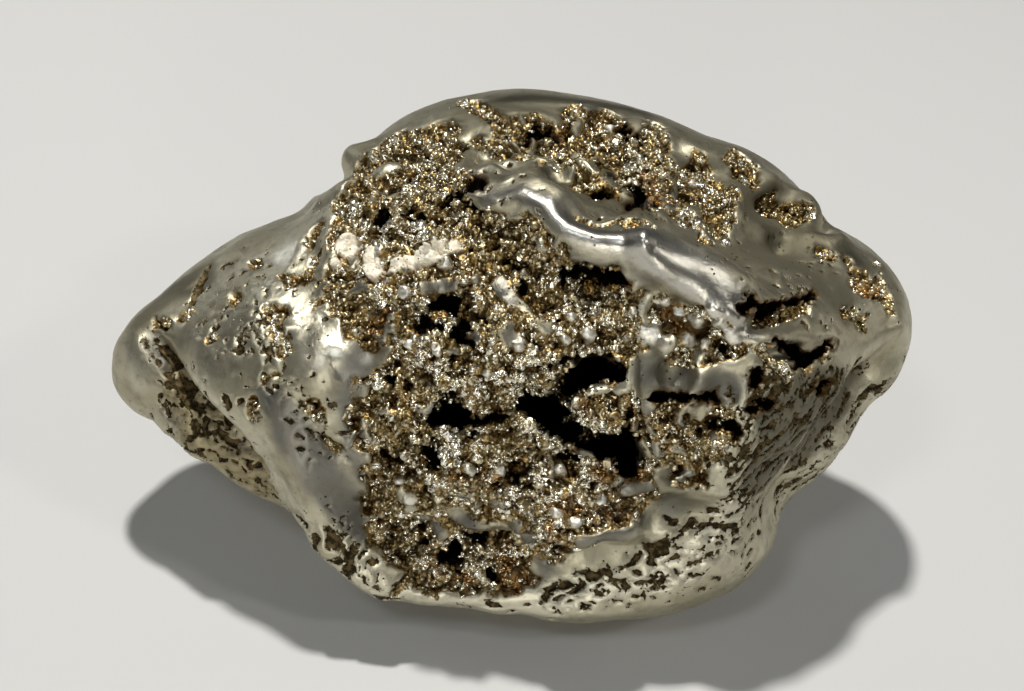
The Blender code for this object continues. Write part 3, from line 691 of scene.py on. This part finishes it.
dice = random.Random(skinSet["seed"])
lookup = lookupOf(points)
pitIn = np.full(len(points), -1.0)
pits = scatteredPits(dice) + hiddenSidePits(dice, points, normals)
for spot, normal, way, wide, length in pits:
    across = normal.cross(way)
    near = np.array([index for _, index, _ in lookup.find_range(spot, (length * 1.5 + wide) * mm)])
    if not len(near):
        continue
    offset = (points[near] - np.array(spot)) / mm
    reach = np.sqrt((offset @ np.array(way) / length) ** 2 + (offset @ np.array(across) / wide) ** 2
                    + (offset @ np.array(normal) / (length + wide)) ** 2)
    pitIn[near] = np.maximum(pitIn[near], (1.1 - reach + fine[near]) * wide)
for name in pittedGround:
    pitIn = np.maximum(pitIn, raggedPits(points, name))
pitIn = np.maximum(pitIn, zoneInside(points, "gash") + fine * 0.35)
pitIn = np.minimum(pitIn, -np.maximum(granularIn, polishedIn))
rise -= smoothStep(pitIn, *skinSet["pit"][:2]) * skinSet["pit"][2]
print("pits cut:", len(pits))

points = points + normals * (rise * mm)[:, None]
points[:, 2] = np.maximum(points[:, 2], 0.0)
skinMesh.vertices.foreach_set("co", points.ravel())
skinMesh.update()
normals = readOut(skinMesh, "normal")
# holes and hollows, which are painted black below as shade
hole = smoothStep(np.maximum(holeIn, hollowIn), -0.1, 0.15)
layers = {"granularIn": np.clip(granularIn, -1, 1), "pitIn": np.clip(pitIn, -0.5, 0.5),
          "holeIn": np.clip(np.maximum(holeIn, hollowIn - 0.22), -1, 1),
          "knob": smoothStep(knobIn, -0.1, 0.2), "polish": smoothStep(polishedIn, -0.6, 0.6),
          "seam": seamShade, "trough": trough}
for name in ("rust", "cream", "tarnish_and_shade", "burnish_and_sheen", "matte_and_shade", "shaded"):
    layers[name] = shares[name]

thinned = withSteps(skinMesh, [("DECIMATE", {"ratio": skinSet["faces"] / (2 * len(skinMesh.polygons))})])
lookup = lookupOf(points)
nearest = np.array([lookup.find(vertex.co)[1] for vertex in thinned.vertices])
for name, values in layers.items():
    addLayer(thinned, name, values[nearest])
thinned.shade_smooth()
thinned.normals_split_custom_set_from_vertices(normals[nearest])
print("skin shaped:", sum(len(p.vertices) - 2 for p in thinned.polygons), "faces")

# finishes


def newMaterial(name):
    material = bpy.data.materials.new(name)
    material.use_nodes = True
    return material, material.node_tree.nodes["Principled BSDF"], material.node_tree


def link(tree, source, target):
    tree.links.new(source, target)


def mask(tree, name):
    node = tree.nodes.new("ShaderNodeAttribute")
    node.attribute_name = name
    return node.outputs["Fac"]


def objectPlaces(tree):
    # object coordinates in millimetres
    coordinates = tree.nodes.new("ShaderNodeTexCoord")
    scaled = tree.nodes.new("ShaderNodeVectorMath")
    scaled.operation = "SCALE"
    scaled.inputs["Scale"].default_value = 1000.0
    link(tree, coordinates.outputs["Object"], scaled.inputs[0])
    return scaled.outputs["Vector"]


def noisy(tree, places, spacing, detail=3.0, roughness=0.55):
    node = tree.nodes.new("ShaderNodeTexNoise")
    node.inputs["Scale"].default_value = 1.0 / spacing
    node.inputs["Detail"].default_value = detail
    node.inputs["Roughness"].default_value = roughness
    link(tree, places, node.inputs["Vector"])
    return node.outputs["Fac"]


def cells(tree, places, spacing):
    node = tree.nodes.new("ShaderNodeTexVoronoi")
    node.inputs["Scale"].default_value = 1.0 / spacing
    link(tree, places, node.inputs["Vector"])
    return node.outputs["Distance"]


def spread(tree, value, low, high, newLow=0.0, newHigh=1.0):
    node = tree.nodes.new("ShaderNodeMapRange")
    node.inputs["From Min"].default_value = low
    node.inputs["From Max"].default_value = high
    node.inputs["To Min"].default_value = newLow
    node.inputs["To Max"].default_value = newHigh
    link(tree, value, node.inputs["Value"])
    return node.outputs["Result"]


def combine(tree, operation, first, second):
    node = tree.nodes.new("ShaderNodeMath")
    node.operation = operation
    for socket, value in zip(node.inputs, (first, second)):
        if isinstance(value, (int, float)):
            socket.default_value = value
        else:
            link(tree, value, socket)
    return node.outputs["Value"]


def edged(tree, name, ruffle, amount, width=0.04):
    # a crisp ragged mask from one of the skin's fields
    field = combine(tree, "ADD", mask(tree, name), spread(tree, ruffle, 0.25, 0.75, -amount, amount))
    return spread(tree, field, -width, width)


def blended(tree, share, under, over):
    # a colour or a plain number, mixed by a mask
    node = tree.nodes.new("ShaderNodeMix")
    coloured = isinstance(over, tuple) or getattr(over, "type", "") == "RGBA"
    node.data_type = "RGBA" if coloured else "FLOAT"
    kind = "Color" if coloured else "Float"
    sockets = {s.identifier: s for s in node.inputs}
    link(tree, share, sockets["Factor_Float"])
    for letter, value in (("A", under), ("B", over)):
        socket = sockets[f"{letter}_{kind}"]
        if isinstance(value, tuple):
            socket.default_value = (*value, 1.0)
        elif isinstance(value, (int, float)):
            socket.default_value = value
        else:
            link(tree, value, socket)
    return {s.identifier: s for s in node.outputs}[f"Result_{kind}"]


def roughened(tree, shader, height, strength, depth):
    bump = tree.nodes.new("ShaderNodeBump")
    bump.inputs["Strength"].default_value = strength
    bump.inputs["Distance"].default_value = depth * mm
    link(tree, height, bump.inputs["Height"])
    link(tree, bump.outputs["Normal"], shader.inputs["Normal"])


# the dull, darkest and tarnish colours are partly painted shade, burnish partly painted reflection and sheen;
# seam, hole and hole rim are painted shade in crevices and holes
skinLook = {
    "bright": (0.55, 0.518, 0.39), "dull": (0.40, 0.368, 0.258), "matte_and_shade": (0.20, 0.186, 0.132),
    "shaded": (0.15, 0.138, 0.095), "polish": (0.54, 0.52, 0.455), "knob": (0.82, 0.79, 0.69),
    "trough": (0.42, 0.365, 0.225), "tarnish_and_shade": (0.215, 0.206, 0.175), "burnish_and_sheen": (0.62, 0.585, 0.455),
    "mottling": (0.17, 0.145, 0.09), "ground": (0.40, 0.285, 0.12), "ground low": (0.19, 0.125, 0.045),
    "rust": (0.34, 0.20, 0.06), "cream": (0.87, 0.80, 0.64), "seam": (0.035, 0.020, 0.006),
    "pit": (0.035, 0.026, 0.012), "pit crumbs": (0.13, 0.095, 0.045),
    "hole": (0.0025, 0.002, 0.0015), "hole rim shade": (0.10, 0.055, 0.016),
}
skinRough = {"worn": (0.50, 0.40), "matte_and_shade": 0.66, "trough": 0.66, "polish": 0.28, "granular": 0.36,
             "dirt": 0.65}
skinNoise = {     # spacing, detail, roughness
    "blotches": (5.0, 4.0), "freckles": (0.5, 3.0), "crumbs": (0.22, 2.0), "mottles": (1.1, 5.0, 0.65),
    "prick patches": (3.0, 2.0), "peel": (1.1, 6.0, 0.7), "fine peel": (0.3, 2.0),
}
skinRelief = {"peel": 0.14, "fine peel": 0.03, "pits": 0.12, "beads": 0.22, "strength": 0.7, "depth": 0.6}


def paintSkin():
    material, shader, tree = newMaterial("worn platinum")
    places = objectPlaces(tree)
    noises = {name: noisy(tree, places, *settings) for name, settings in skinNoise.items()}
    freckles = noises["freckles"]
    bright = spread(tree, noises["blotches"], 0.35, 0.65)
    colour = blended(tree, bright, skinLook["dull"], skinLook["bright"])
    # the dull, darkest and tarnished layers darken the metal partly as painted shade; the burnished layer
    # lightens it as painted reflection and painted sheen
    for layer in ("matte_and_shade", "shaded", "polish", "knob", "trough", "tarnish_and_shade", "burnish_and_sheen"):
        colour = blended(tree, mask(tree, layer), colour, skinLook[layer])
    mottled = spread(tree, noises["mottles"], 0.48, 0.68, 0.0, 0.42)
    colour = blended(tree, mottled, colour, skinLook["mottling"])
    granularMask = edged(tree, "granularIn", noises["crumbs"], 0.2)
    groundColour = blended(tree, spread(tree, freckles, 0.40, 0.60), skinLook["ground low"],
                           skinLook["ground"])
    colour = blended(tree, granularMask, colour, groundColour)
    rusty = combine(tree, "MULTIPLY", mask(tree, "rust"), spread(tree, freckles, 0.35, 0.6))
    rusty = combine(tree, "MULTIPLY", rusty, granularMask)
    colour = blended(tree, rusty, colour, skinLook["rust"])
    # cream is the vein's own colour; the dark seam colour is painted shade in the seams between the grains
    for layer in ("cream", "seam"):
        colour = blended(tree, mask(tree, layer), colour, skinLook[layer])
    pitMask = edged(tree, "pitIn", noises["crumbs"], 0.08, 0.03)
    pitColour = blended(tree, spread(tree, freckles, 0.44, 0.58), skinLook["pit"], skinLook["pit crumbs"])
    colour = blended(tree, pitMask, colour, pitColour)
    # pin pricks, finer than the mesh
    pricked = combine(tree, "MULTIPLY", spread(tree, cells(tree, places, 0.55), 0.12, 0.2, 1.0, 0.0),
                      spread(tree, noises["prick patches"], 0.54, 0.6))
    colour = blended(tree, pricked, colour, skinLook["pit"])
    # painted shade: a darker rim around each hole and hollow, and black inside them
    holeRimShade = spread(tree, mask(tree, "holeIn"), -0.4, 0.0)
    colour = blended(tree, holeRimShade, colour, skinLook["hole rim shade"])
    holeShadeMask = edged(tree, "holeIn", noises["crumbs"], 0.12)
    colour = blended(tree, holeShadeMask, colour, skinLook["hole"])
    link(tree, colour, shader.inputs["Base Color"])
    earthy = combine(tree, "MAXIMUM", mask(tree, "cream"), combine(tree, "MULTIPLY", rusty, 0.8))
    link(tree, spread(tree, earthy, 0.0, 1.0, 1.0, 0.05), shader.inputs["Metallic"])
    rough = spread(tree, noises["blotches"], 0.3, 0.7, *skinRough["worn"])
    for layer in ("matte_and_shade", "trough", "polish"):
        rough = blended(tree, mask(tree, layer), rough, skinRough[layer])
    rough = blended(tree, granularMask, rough, skinRough["granular"])
    dirt = combine(tree, "MAXIMUM", combine(tree, "MAXIMUM", pitMask, holeShadeMask), earthy)
    rough = blended(tree, dirt, rough, skinRough["dirt"])
    link(tree, rough, shader.inputs["Roughness"])
    # beads between the grains, a fine peel on the worn metal, and the walls of the pits
    beads = spread(tree, cells(tree, places, 0.42), 0.0, 0.6, skinRelief["beads"], 0.0)
    height = combine(tree, "MULTIPLY", beads, granularMask)
    for name in ("peel", "fine peel"):
        height = combine(tree, "ADD", height, combine(tree, "MULTIPLY", noises[name], skinRelief[name]))
    walls = combine(tree, "MULTIPLY", combine(tree, "MAXIMUM", pitMask, pricked), skinRelief["pits"])
    height = combine(tree, "SUBTRACT", height, walls)
    roughened(tree, shader, height, skinRelief["strength"], skinRelief["depth"])
    return material


thinned.materials.clear()
thinned.materials.append(paintSkin())
skin = put("nugget_skin", thinned)
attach(skin, "root")
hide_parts("nugget")

# the grains

grainSet = {
    "shapes": 24,              # different grains to draw from
    "corners": (11, 15),
    "uneven": (0.65, 1.15),    # how far its corners stand from the middle
    "stretch": (0.6, 1.3),
    "sizes": {"coarse": (3800, 0.30, 0.56), "middle": (8400, 0.21, 0.38), "fine": (8400, 0.15, 0.26),
              "finest": (8000, 0.11, 0.20)},     # count, smallest and largest radius
    "sunk": (0.0, 0.65),
    "jitter": 0.084,
    "rounded": 0.9,            # share of grains that are worn round
    "rusty": 0.7,              # share that takes the rust where there is any
    "patches": 1.6,            # spacing of the patches of one tone
    "tone": {"middle": 0.56, "patches": 0.8, "pale": 0.45, "chance": 0.26},
    "seed": 5,
}
grainLook = {
    "dark": (0.24, 0.175, 0.07), "middle": (0.57, 0.49, 0.30), "pale": (1.0, 0.955, 0.80),
    "rust": (0.38, 0.22, 0.08), "cream": (0.90, 0.83, 0.66),
    "roughness": (0.42, 0.22),     # from the darkest tone to the palest
    "dimples": (0.25, 2.0),
    "relief": (0.5, 0.1),
}


def grainShapes(dice):
    # each shape is the hull of a few points on a ball, so it has flat sides like a crystal
    shapes = []
    for _ in range(grainSet["shapes"]):
        body = bmesh.new()
        for _ in range(dice.randint(*grainSet["corners"])):
            way = Vector([dice.gauss(0, 1) for _ in range(3)]).normalized()
            body.verts.new(way * dice.uniform(*grainSet["uneven"]))
        bmesh.ops.convex_hull(body, input=body.verts[:])
        loose = [v for v in body.verts if not v.link_faces]
        bmesh.ops.delete(body, geom=loose, context="VERTS")
        bmesh.ops.recalc_face_normals(body, faces=body.faces[:])
        body.verts.index_update()
        corners = np.array([v.co for v in body.verts])
        faces = np.array([[v.index for v in f.verts] for f in body.faces])
        shapes.append((corners, faces))
        body.free()
    return shapes


def turns(count, dice):
    # random rotations, as one array of matrices
    quaternions = dice.normal(size=(count, 4))
    quaternions /= np.linalg.norm(quaternions, axis=1)[:, None]
    w, x, y, z = quaternions.T
    return np.stack([
        np.stack([1 - 2 * (y * y + z * z), 2 * (x * y - z * w), 2 * (x * z + y * w)], -1),
        np.stack([2 * (x * y + z * w), 1 - 2 * (x * x + z * z), 2 * (y * z - x * w)], -1),
        np.stack([2 * (x * z - y * w), 2 * (y * z + x * w), 1 - 2 * (x * x + y * y)], -1),
    ], 1)


def scatterGrains(name, count, smallest, largest, where, dice, shapes):
    weights = where / where.sum()
    spots = dice.choice(len(points), size=count, p=weights)
    radii = dice.uniform(smallest, largest, count) * mm
    sunk = dice.uniform(*grainSet["sunk"], count)
    jitter = dice.normal(size=(count, 3)) * grainSet["jitter"] * mm
    centres = points[spots] - normals[spots] * (radii * sunk)[:, None] + jitter
    matrices = turns(count, dice)
    stretch = dice.uniform(*grainSet["stretch"], (count, 3))
    which = dice.integers(len(shapes), size=count)
    rounded = dice.uniform(size=count) < grainSet["rounded"]
    tone = grainSet["tone"]
    patch = fractal(centres, grainSet["patches"]) * tone["patches"]
    # the pale zones lift the grains' tone, partly as painted light where the face lies in shade
    lift = shares["pale"][spots] * tone["pale"] + dice.normal(0, tone["chance"], count)
    carried = {
        "tone": np.clip(tone["middle"] + patch + lift, 0, 1),
        "rust": shares["rust"][spots] * (dice.uniform(size=count) < grainSet["rusty"]),
        "cream": shares["cream"][spots],
        # painted shade: grains in holes and seams are darkened
        "depth": np.maximum(hole, seamShade * 0.6)[spots],
    }
    allCorners, allFaces, allRounded, start = [], [], [], 0
    allCarried = {key: [] for key in carried}
    for index, (corners, faces) in enumerate(shapes):
        chosen = np.flatnonzero(which == index)
        if not len(chosen):
            continue
        placed = corners[None] * stretch[chosen][:, None] * radii[chosen][:, None, None]
        placed = np.einsum("nij,nkj->nki", matrices[chosen], placed) + centres[chosen][:, None]
        offsets = start + np.arange(len(chosen)) * len(corners)
        allCorners.append(placed.reshape(-1, 3))
        allFaces.append((faces[None] + offsets[:, None, None]).reshape(-1, 3))
        allRounded.append(np.repeat(rounded[chosen], len(faces)))
        for key, values in carried.items():
            allCarried[key].append(np.repeat(values[chosen], len(corners)))
        start += len(chosen) * len(corners)
    mesh = bpy.data.meshes.new(name)
    corners = np.vstack(allCorners)
    faces = np.vstack(allFaces)
    mesh.vertices.add(len(corners))
    mesh.vertices.foreach_set("co", corners.ravel())
    mesh.loops.add(faces.size)
    mesh.loops.foreach_set("vertex_index", faces.ravel().astype(np.int32))
    mesh.polygons.add(len(faces))
    mesh.polygons.foreach_set("loop_start", np.arange(0, faces.size, 3, dtype=np.int32))
    mesh.update(calc_edges=True)
    mesh.polygons.foreach_set("use_smooth", np.concatenate(allRounded))
    for key, values in allCarried.items():
        addLayer(mesh, key, np.concatenate(values))
    print(name, len(faces), "faces")
    return mesh


def paintGrains():
    material, shader, tree = newMaterial("bright grains")
    tone = mask(tree, "tone")
    colour = blended(tree, spread(tree, tone, 0.0, 0.5), grainLook["dark"], grainLook["middle"])
    colour = blended(tree, spread(tree, tone, 0.5, 1.0), colour, grainLook["pale"])
    for layer in ("rust", "cream"):
        colour = blended(tree, mask(tree, layer), colour, grainLook[layer])
    # painted shade on the grains that sit in holes and seams
    colour = blended(tree, mask(tree, "depth"), colour, skinLook["seam"])
    link(tree, colour, shader.inputs["Base Color"])
    link(tree, spread(tree, mask(tree, "cream"), 0.0, 1.0, 1.0, 0.1), shader.inputs["Metallic"])
    link(tree, spread(tree, tone, 0.0, 1.0, *grainLook["roughness"]), shader.inputs["Roughness"])
    dimples = noisy(tree, objectPlaces(tree), *grainLook["dimples"])
    roughened(tree, shader, dimples, *grainLook["relief"])
    return material


grainDice = np.random.default_rng(grainSet["seed"])
shapes = grainShapes(random.Random(grainSet["seed"]))
grainPaint = paintGrains()
where = granular ** 2 * (1.0 - hole) ** 2 * (1.0 - shares["cream"] * 0.95) * (1.0 - seamShade * 0.7)
for name, (count, smallest, largest) in grainSet["sizes"].items():
    mesh = scatterGrains("grains_" + name, count, smallest, largest, where, grainDice, shapes)
    mesh.materials.append(grainPaint)
    grains = put("grains_" + name, mesh)
    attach(grains, "root")
print("grains scattered")

# floor and light

studio = {
    "floorSize": 3.0,
    "floorColour": (0.59, 0.59, 0.575, 1),
    "floorRough": 0.9,
    "sky": (0.10, 0.10, 0.10),
    "horizon": (0.05, 0.05, 0.05),
    "aim": (0, 0, 0.02),
}


def addFloor():
    half = studio["floorSize"] / 2
    mesh = bpy.data.meshes.new("floor")
    mesh.from_pydata([(-half, -half, 0), (half, -half, 0), (half, half, 0), (-half, half, 0)], [],
                     [(0, 1, 2, 3)])
    material, shader, _ = newMaterial("pale floor")
    shader.inputs["Base Color"].default_value = studio["floorColour"]
    shader.inputs["Roughness"].default_value = studio["floorRough"]
    mesh.materials.append(material)
    floor = put("floor", mesh)


def hang(name, lamp, place, aim, power, colour):
    lamp.energy = power
    lamp.color = colour
    holder = put(name, lamp)
    holder.location = place
    holder.rotation_euler = (Vector(aim) - Vector(place)).to_track_quat("-Z", "Y").to_euler()


def addKey():
    # its pool of light covers the floor that the camera sees
    lamp = bpy.data.lights.new("key", "SPOT")
    lamp.shadow_soft_size = keyLamp["radius"]
    lamp.spot_size = math.radians(keyLamp["cone"])
    lamp.spot_blend = keyLamp["blend"]
    hang("key", lamp, keyLamp["place"], keyLamp["aim"], keyLamp["power"], keyLamp["colour"])


def addLamp(name, place, size, power, colour):
    lamp = bpy.data.lights.new(name, "AREA")
    lamp.shape = "DISK"
    lamp.size = size
    hang(name, lamp, place, studio["aim"], power, colour)


keyLamp = {
    "place": (-0.077, 0.066, 0.55), "aim": (0.0, 0.0, 0.0),
    "radius": 0.018, "cone": 84.0, "blend": 1.0, "power": 11.3, "colour": (1.0, 0.98, 0.95),
}
lamps = {     # place, size, power, colour
    "left window": ((-0.14, -0.34, 0.47), 0.09, 0.38, (0.86, 0.92, 1.0)),
    "rear window": ((-0.41, 0.40, 0.19), 0.12, 0.15, (0.90, 0.94, 1.0)),
    "front spot": ((0.06, -0.60, 0.14), 0.10, 0.52, (1.0, 0.97, 0.92)),
    "right spot": ((0.30, -0.19, 0.36), 0.05, 0.23, (1.0, 0.98, 0.94)),
    "front window": ((-0.10, -0.55, 0.09), 0.25, 0.35, (1.0, 0.98, 0.95)),
    "right window": ((0.50, 0.13, 0.17), 0.20, 0.15, (1.0, 0.96, 0.90)),
}


def addSky():
    world = bpy.data.worlds.new("studio")
    bpy.context.scene.world = world
    world.use_nodes = True
    tree = world.node_tree
    ways = tree.nodes.new("ShaderNodeTexCoord")
    split = tree.nodes.new("ShaderNodeSeparateXYZ")
    link(tree, ways.outputs["Generated"], split.inputs["Vector"])
    colour = blended(tree, spread(tree, split.outputs["Z"], 0.0, 0.7), studio["horizon"], studio["sky"])
    link(tree, colour, tree.nodes["Background"].inputs["Color"])


addFloor()
addKey()
for name, (place, size, power, colour) in lamps.items():
    addLamp(name, place, size, power, colour)
addSky()
bpy.context.scene.view_settings.view_transform = "Standard"
print("studio set")
